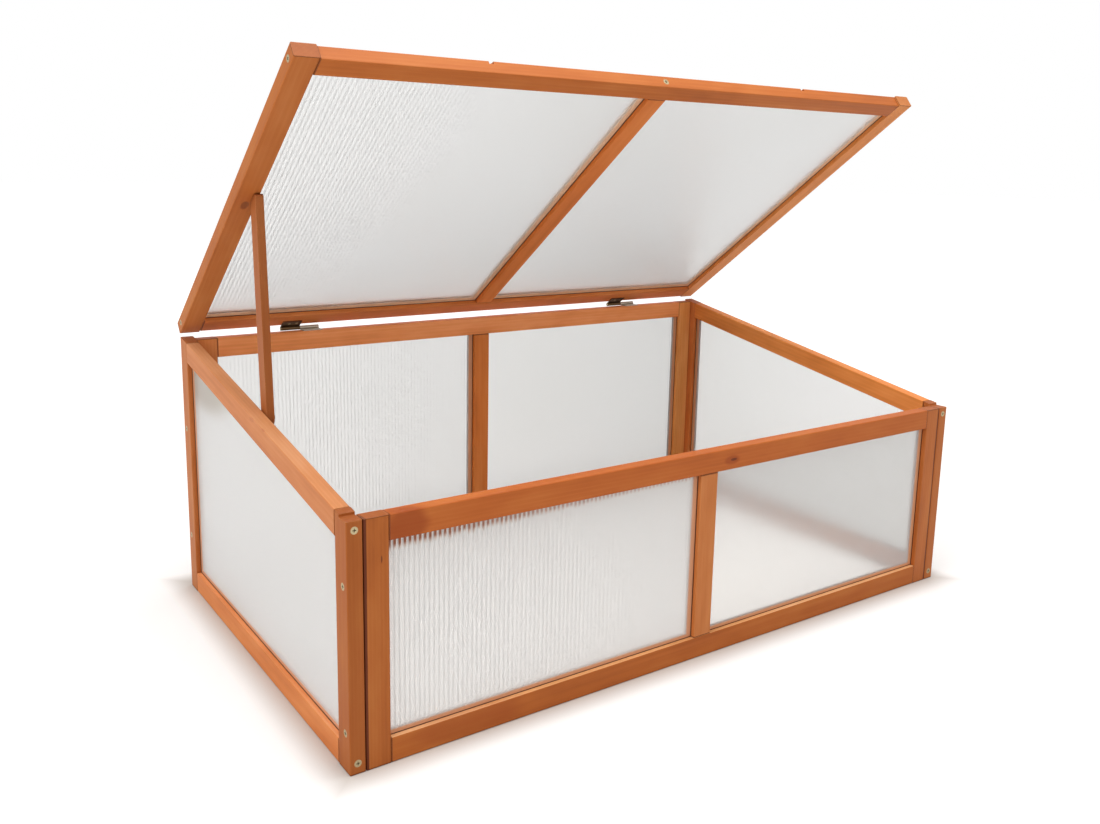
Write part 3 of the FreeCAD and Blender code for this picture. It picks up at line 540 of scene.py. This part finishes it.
# How far the painted shade reaches from a corner, and how shut in a place is that has it
RECESS_SHADE_REACH, RECESS_SHADE_SHOWS = 0.002, (0.45, 0.9)
METAL_DULL, PATCH_DULL = 0.34, 0.2
SCREWS_AND_PINS = (
    "end_frame_screws", "panel_frame_screws", "muntin_screws", "corner_screws",
    "hinge_box_screws", "prop_pivot_screw", "prop_washer", "lid_frame_screws",
    "lid_muntin_screws", "hinge_lid_screws", "hinge_pins")


def zinc(name):
    """Yellowish plating with painted shade in the heads' crosses."""
    finish = Finish(name)
    spangle = finish.noise(finish.place(), detail=2.0, roughness=0.6, scale=900.0)
    tint = finish.blend(spangle, colour(160, 142, 106), colour(200, 186, 150))
    open_sky = finish.node("ShaderNodeAmbientOcclusion", {"samples": 8, "only_local": True},
                           {"Distance": RECESS_SHADE_REACH}, output="AO")
    # Darker where the surface is shut in: painted shade in the heads' crosses
    tint = finish.blend(1 - open_sky.smooth(*RECESS_SHADE_SHOWS), tint, colour(70, 56, 38))
    dull = METAL_DULL + PATCH_DULL * spangle
    return finish.close(finish.layer(Base_Color=tint, Metallic=1.0, Roughness=dull))


def plated_steel(name, dark, bright):
    """Plating with darker and brighter patches."""
    finish = Finish(name)
    patches = finish.noise(finish.place(), detail=3.0, roughness=0.6, scale=260.0)
    tint = finish.blend(patches, dark, bright)
    dull = METAL_DULL + PATCH_DULL * patches
    return finish.close(finish.layer(Base_Color=tint, Metallic=1.0, Roughness=dull))


def dress_metal():
    plated = zinc("zinc_plated")
    for node in SCREWS_AND_PINS:
        dress(node, plated)
    # The lid leaves get a darker plating than the box leaves: painted shade on the leaves under
    # the lid and painted light on the leaves on the box, on what is one plating
    shaded_hinge_plating = plated_steel("hinge_plating_in_painted_shade", colour(84, 66, 46), colour(128, 104, 74))
    lit_hinge_plating = plated_steel("hinge_plating_in_painted_light", colour(150, 138, 120), colour(206, 196, 180))
    for side in ("left", "right"):
        dress(f"hinge_{side}_lid_leaf", shaded_hinge_plating)
        dress(f"hinge_{side}_box_leaf", lit_hinge_plating)


# The room: a pale floor, soft lamps and the camera

FLOOR_SIZE, FLOOR_DROP = 60, 0.0005
# Where the ground inside the box ends and the ground clear of it starts, from the middle out
INSIDE_ACROSS, INSIDE_ALONG = (0.45, 0.484), (0.25, 0.284)
CLEAR_ACROSS, CLEAR_ALONG = (0.495, 0.545), (0.295, 0.345)
FAR_OFF = (0.6, 3.0)
# How white the floor glows in direct looks, and what is added to that through clear plastic.
# The stronger glow inside the box and the glow added through clear plastic are painted light,
# which brightens the floor seen through the sheets
CLEAR_GLOW, INSIDE_GLOW, FAR_GLOW = 0.34, 0.52, 0.3
CLEAR_GLOW_THROUGH, INSIDE_GLOW_THROUGH = 0.35, 0.2
# The floor's paint is darker and warmer near and inside the box than clear of it: a painted
# shadow round the box's foot
SHADED_PAINT, OPEN_PAINT = (0.64, 0.59, 0.54, 1), (0.71, 0.69, 0.67, 1)
WHITE = (1, 1, 1, 1)
SKY_LIGHT = 0.55
# Each lamp: where it hangs, what it is aimed at, how wide it is and its power in watts
LAMPS = {
    "key_lamp": ((-3.0, -0.7, 2.0), (0, 0, 0.25), 1.6, 40),
    "top_lamp": ((0.1, -0.3, 3.2), (0, 0, 0.2), 2.2, 66),
    "fill_lamp": ((0.6, -3.2, 1.2), (0, 0, 0.35), 1.8, 4),
}


def ray(finish, kind):
    return finish.node("ShaderNodeLightPath", output=f"Is {kind} Ray")


def direct_look(finish):
    """1 where the camera, a reflection or clear plastic looks at the surface."""
    return reduce(Value.most, [ray(finish, kind) for kind in
                               ("Camera", "Glossy", "Transmission")])


def make_floor():
    bpy.ops.mesh.primitive_plane_add(size=FLOOR_SIZE, location=(0, 0, -FLOOR_DROP))
    floor = bpy.context.object
    floor.name = "studio_floor"
    finish = Finish("pale_floor")
    across, along = (abs(finish.part_of(finish.place(), axis)) for axis in (0, 1))
    inside = (1 - across.smooth(*INSIDE_ACROSS)) * (1 - along.smooth(*INSIDE_ALONG))
    clear_of_it = across.smooth(*CLEAR_ACROSS).most(along.smooth(*CLEAR_ALONG))
    far = finish.length(finish.place()).smooth(*FAR_OFF)
    seen, through = direct_look(finish), ray(finish, "Transmission")
    # The glow inside the box and through clear plastic is painted light
    white = (
        seen * (CLEAR_GLOW * clear_of_it + INSIDE_GLOW * inside + FAR_GLOW * far)
        + through * (INSIDE_GLOW_THROUGH * inside + CLEAR_GLOW_THROUGH * clear_of_it))
    # Painted shadow: darker paint near the box
    paint = finish.blend(clear_of_it, SHADED_PAINT, OPEN_PAINT)
    matt = finish.node("ShaderNodeBsdfDiffuse", {}, {"Color": paint})
    glow = finish.node("ShaderNodeEmission", {}, {"Color": white, "Strength": 1.0})
    floor.data.materials.append(finish.close(
        finish.node("ShaderNodeAddShader", {}, {0: matt, 1: glow})))


class WorldFinish(Finish):
    """The same node tools for the world."""

    def __init__(self, name):
        self.start(bpy.data.worlds.new(name))


def make_world():
    finish = WorldFinish("studio")
    bpy.context.scene.world = finish.material
    seen = direct_look(finish)
    shade = finish.node("ShaderNodeBackground", {}, {
        "Color": WHITE, "Strength": SKY_LIGHT + (1 - SKY_LIGHT) * seen})
    finish.node("ShaderNodeOutputWorld", {}, {"Surface": shade})


def make_lamps():
    for name, (place, aim, width, power) in LAMPS.items():
        light = bpy.data.lights.new(name, "AREA")
        light.shape = "SQUARE"
        light.size = width
        light.energy = power
        lamp = bpy.data.objects.new(name, light)
        bpy.context.scene.collection.objects.link(lamp)
        lamp.location = place
        towards = Vector(aim) - Vector(place)
        lamp.rotation_euler = towards.to_track_quat("-Z", "Y").to_euler()


def make_camera():
    azimuth, elevation, roll = (math.radians(angle) for angle in
                                (CAMERA_AZIMUTH, CAMERA_ELEVATION, CAMERA_ROLL))
    back = Vector((math.sin(azimuth) * math.cos(elevation),
                   -math.cos(azimuth) * math.cos(elevation), math.sin(elevation)))
    level = UPWARD.cross(back).normalized()
    above = back.cross(level)
    right = level * math.cos(roll) + above * math.sin(roll)
    top = above * math.cos(roll) - level * math.sin(roll)
    data = bpy.data.cameras.new("photo_camera")
    data.sensor_fit = "HORIZONTAL"
    data.sensor_width = SENSOR_WIDTH
    data.lens = SENSOR_WIDTH * FOCAL_PIXELS / IMAGE_WIDTH
    data.shift_x = (IMAGE_WIDTH / 2 - CENTRE_ACROSS) / IMAGE_WIDTH
    data.shift_y = (CENTRE_DOWN - IMAGE_HEIGHT / 2) / IMAGE_WIDTH
    camera = bpy.data.objects.new("photo_camera", data)
    bpy.context.scene.collection.objects.link(camera)
    turn = Matrix((right, top, back)).transposed().to_4x4()
    camera.matrix_world = Matrix.Translation(CAMERA_PLACE) @ turn
    bpy.context.scene.camera = camera


bpy.ops.object.select_all(action="DESELECT")
bpy.context.scene.view_settings.view_transform = "Standard"
make_camera()
make_world()
make_lamps()
make_floor()
dress_boards()
dress_sheets()
dress_metal()
